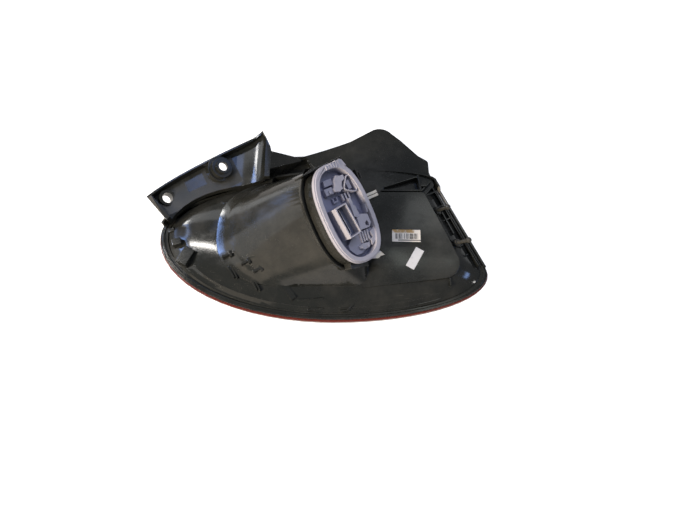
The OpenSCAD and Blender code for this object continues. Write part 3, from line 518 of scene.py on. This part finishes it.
class LAMP_OT_carrier(bpy.types.Operator):
    """Smooths and edges the bulb carrier"""
    bl_idname = "lamp.carrier"
    bl_label = "Bulb carrier"

    def execute(self, context):
        piece = merged_copy("bulb_holder", "bulb_carrier")
        round_edges(piece, context.scene.lamp_sizes.carrier_edge)
        finish_piece(piece, materials()["carrier_grey"], ["bulb_holder"])
        return {"FINISHED"}


class LAMP_OT_lens(bpy.types.Operator):
    """Smooths the red lens and its clear window"""
    bl_idname = "lamp.lens"
    bl_label = "Lens"

    def execute(self, context):
        for node, name, finish, slot_name in (
                ("lens_red", "lens_red_rim", "lens_red_clear", "lens_red"),
                ("lens_clear", "lens_clear_window", "lens_window", "lens_clear")):
            piece = merged_copy(node, name)
            smooth(piece, TURNED_DEGREES)
            finish_piece(piece, materials()[finish], [node])
        return {"FINISHED"}


class LAMP_OT_studs(bpy.types.Operator):
    """Smooths the two ball studs"""
    bl_idname = "lamp.studs"
    bl_label = "Ball studs"

    def execute(self, context):
        for node in ("ball_stud_upper", "ball_stud_lower"):
            piece = merged_copy(node, node + "_moulded")
            smooth(piece, TURNED_DEGREES)
            finish_piece(piece, materials()["stud_black"], [node])
        return {"FINISHED"}


class LAMP_OT_finishes(bpy.types.Operator):
    """Gives the pieces that keep their measured shape their finish"""
    bl_idname = "lamp.finishes"
    bl_label = "Inner pieces and labels"

    def execute(self, context):
        finish = {
            "lens_seal": "gasket_rubber", "holder_gasket": "gasket_rubber", "reflector": "reflector_coating",
            "connector_terminals": "contact_brass"}
        for strip in ("ground", "tail", "stop", "turn"):
            finish[f"contact_{strip}"] = "contact_brass"
        for bulb in ("stop", "turn", "tail", "reverse"):
            finish[f"bulb_{bulb}_base"] = "contact_brass"
            finish[f"bulb_{bulb}_glass"] = "bulb_clear"
        for node, name, *_ in LABELS:
            finish[node] = name
        for node, name in finish.items():
            NODES[node].data.materials.clear()
            NODES[node].data.materials.append(materials()[name])
        return {"FINISHED"}


# Where the lamps point, measured from the rim plane's middle
LIT_AT = Vector((-0.03, 0.02, 0.04))
# Name, both ends from the rim plane's middle, width, power, colour, and whether it only fills or shines
LAMPS = (
    ("key_left", (-0.95, -0.90, 0.85), (-1.15, -0.40, 0.85), 0.4, 34, (1.0, 0.87, 0.70), "fill"),
    ("sky_top", (-0.35, 0.45, 1.40), (0.85, 0.45, 1.40), 0.9, 9, (0.70, 0.76, 1.0), "fill"),
    ("band_blue", (-1.03, 0.66, 0.53), (-1.10, 0.10, 0.76), 0.18, 7.0, (0.28, 0.47, 1.0), "shine"),
    ("band_white", (-0.98, 0.78, 0.44), (-1.02, 0.68, 0.50), 0.14, 1.1, (1.0, 0.98, 0.95), "shine"),
    ("arm_blue", (-0.62, 0.66, 1.00), (-0.30, 0.66, 1.08), 0.20, 0.55, (0.29, 0.46, 1.0), "shine"),
    ("dome_white", (-0.98, 0.27, 0.87), (-0.62, 0.31, 1.08), 0.045, 3.8, (1.0, 0.97, 0.92), "shine"),
    ("far_left", (-1.18, 0.74, 0.05), (-0.40, 0.76, 1.03), 0.25, 1.5, (0.94, 0.97, 1.0), "shine"),
    ("wall_left", (-1.18, -0.48, 0.62), (-1.18, 0.26, 0.62), 0.45, 1.05, (1.0, 0.98, 0.96), "shine"),
    ("wall_near", (-1.1, -0.45, 0.50), (-0.6, -1.15, 0.45), 0.5, 1.15, (1.0, 0.84, 0.66), "shine"),
    ("corner_blue", (1.04, -0.24, 0.80), (1.09, 0.02, 0.77), 0.09, 0.7, (0.34, 0.52, 1.0), "shine"),
    ("corner_white", (1.24, -0.42, 0.42), (1.26, -0.34, 0.44), 0.08, 0.35, (1.0, 0.98, 0.95), "shine"),
    ("boss_blue", (0.62, 0.34, 0.86), (0.74, 0.42, 0.86), 0.10, 0.05, (0.30, 0.48, 1.0), "shine"),
    ("crease", (0.18, 0.22, 1.20), (0.45, 0.20, 1.18), 0.05, 0.09, (0.90, 0.97, 0.90), "shine"),
    ("ceiling", (0.24, 0.51, 1.11), (0.58, 0.47, 1.10), 0.20, 0.28, (0.96, 1.0, 0.98), "shine"),
    ("wall_right", (1.20, 0.40, 0.12), (0.95, 0.95, 0.12), 0.5, 0.85, (0.98, 0.99, 1.0), "shine"),
)


def area_lamp(name, start, end, width, power, colour, only):
    """A soft lamp between two places, facing the object, that only fills or only shines."""
    start, end = RIM + Vector(start), RIM + Vector(end)
    data = bpy.data.lights.new(name, "AREA")
    data.shape, data.size, data.size_y = "RECTANGLE", (end - start).length, width
    data.energy, data.color = power, colour
    lamp = bpy.data.objects.new(name, data)
    bpy.context.scene.collection.objects.link(lamp)
    middle = (start + end) / 2
    back = (middle - RIM - LIT_AT).normalized()
    along = (end - start - back * (end - start).dot(back)).normalized()
    turned = Matrix((along, back.cross(along), back)).transposed().to_4x4()
    lamp.matrix_world = Matrix.Translation(middle) @ turned
    lamp.visible_camera = False
    lamp.visible_glossy = only == "shine"
    lamp.visible_diffuse = only == "fill"


# The camera: sensor width in mm, the photograph's width and focal length in pixels, place and tilt
SENSOR, PHOTO_WIDTH, PHOTO_FOCAL = 36, 675, 500
CAMERA_AT, CAMERA_TILT = Vector((0, -0.21889, 0.60140)), 20
FLOOR_SIZE, FLOOR_GAP = 12, 0.0002
# The floor's own grey, and how it glows to the camera and in reflections
FLOOR_GREY, FLOOR_GLOW, FLOOR_SHEEN = (0.5, 0.5, 0.5, 1), 0.9, 0.25
WORLD_FILL, WHITE = (0.25, 0.26, 0.27, 1), (1, 1, 1, 1)


def add_camera(scene):
    """The photograph's camera, looking down on the lamp's back."""
    view = bpy.data.cameras.new("photo_view")
    view.sensor_fit, view.sensor_width = "HORIZONTAL", SENSOR
    view.lens = SENSOR * PHOTO_FOCAL / PHOTO_WIDTH
    view.clip_start, view.clip_end = 0.01, 50
    camera = bpy.data.objects.new("photo_view", view)
    scene.collection.objects.link(camera)
    camera.location = RIM + CAMERA_AT
    camera.rotation_euler = (math.radians(CAMERA_TILT), 0, 0)
    scene.camera = camera


def add_floor():
    """A floor that is white to the camera and keeps the lamp's shadow."""
    bpy.ops.object.select_all(action="DESELECT")
    bpy.ops.mesh.primitive_plane_add(size=FLOOR_SIZE, location=(RIM.x, RIM.y, CAD_BOX[0][2] - FLOOR_GAP))
    floor = bpy.context.object
    floor.name = "studio_floor"
    sheet = Sheet("studio_floor")
    path = sheet.add("ShaderNodeLightPath").outputs
    seen = sheet.math("MAXIMUM", path["Is Camera Ray"], path["Is Transmission Ray"])
    glow = sheet.math("MAXIMUM", sheet.math("MULTIPLY", seen, FLOOR_GLOW),
                      sheet.math("MULTIPLY", path["Is Glossy Ray"], FLOOR_SHEEN))
    sheet.uniform(Base_Color=FLOOR_GREY, Roughness=1, Specular_IOR_Level=0, Emission_Color=WHITE)
    sheet.link(glow, "Emission Strength")
    floor.data.materials.append(sheet.material)


def add_world(scene):
    """Soft light from all round, white to the camera."""
    scene.world = bpy.data.worlds.new("studio_world")
    scene.world.use_nodes = True
    tree = scene.world.node_tree
    path = tree.nodes.new("ShaderNodeLightPath")
    choice = tree.nodes.new("ShaderNodeMix")
    choice.data_type = "RGBA"
    choice.inputs[6].default_value = WORLD_FILL
    choice.inputs[7].default_value = WHITE
    tree.links.new(path.outputs["Is Camera Ray"], choice.inputs[0])
    tree.links.new(choice.outputs[2], tree.nodes["Background"].inputs["Color"])


class LAMP_OT_stage(bpy.types.Operator):
    """Camera, pale floor and soft lamps"""
    bl_idname = "lamp.stage"
    bl_label = "Stage"

    def execute(self, context):
        scene = context.scene
        scene.view_settings.view_transform = "Standard"
        add_camera(scene)
        add_floor()
        add_world(scene)
        for lamp in LAMPS:
            area_lamp(*lamp)
        return {"FINISHED"}


class LAMP_PT_panel(bpy.types.Panel):
    """Lists the lamp's pieces, sizes and colours"""
    bl_idname = "LAMP_PT_panel"
    bl_label = "Rear Combination Lamp"
    bl_space_type = "VIEW_3D"
    bl_region_type = "UI"
    bl_category = "Lamp"

    def draw(self, context):
        for group in (context.scene.lamp_sizes, context.scene.lamp_finish):
            for key in group.__annotations__:
                self.layout.prop(group, key)
        for operator in STEPS:
            self.layout.operator(operator.bl_idname)


STEPS = (LAMP_OT_stage, LAMP_OT_housing, LAMP_OT_carrier, LAMP_OT_lens, LAMP_OT_studs, LAMP_OT_finishes)
CLASSES = (LampFinish, LampSizes, LAMP_PT_panel) + STEPS


def register():
    for kind in CLASSES:
        bpy.utils.register_class(kind)
    bpy.types.Scene.lamp_finish = PointerProperty(type=LampFinish)
    bpy.types.Scene.lamp_sizes = PointerProperty(type=LampSizes)


def unregister():
    del bpy.types.Scene.lamp_sizes
    del bpy.types.Scene.lamp_finish
    for kind in reversed(CLASSES):
        bpy.utils.unregister_class(kind)


def main():
    register()
    for step in STEPS:
        name = step.bl_idname.split(".")[1]
        getattr(bpy.ops.lamp, name)()


if __name__ == "__main__":
    main()
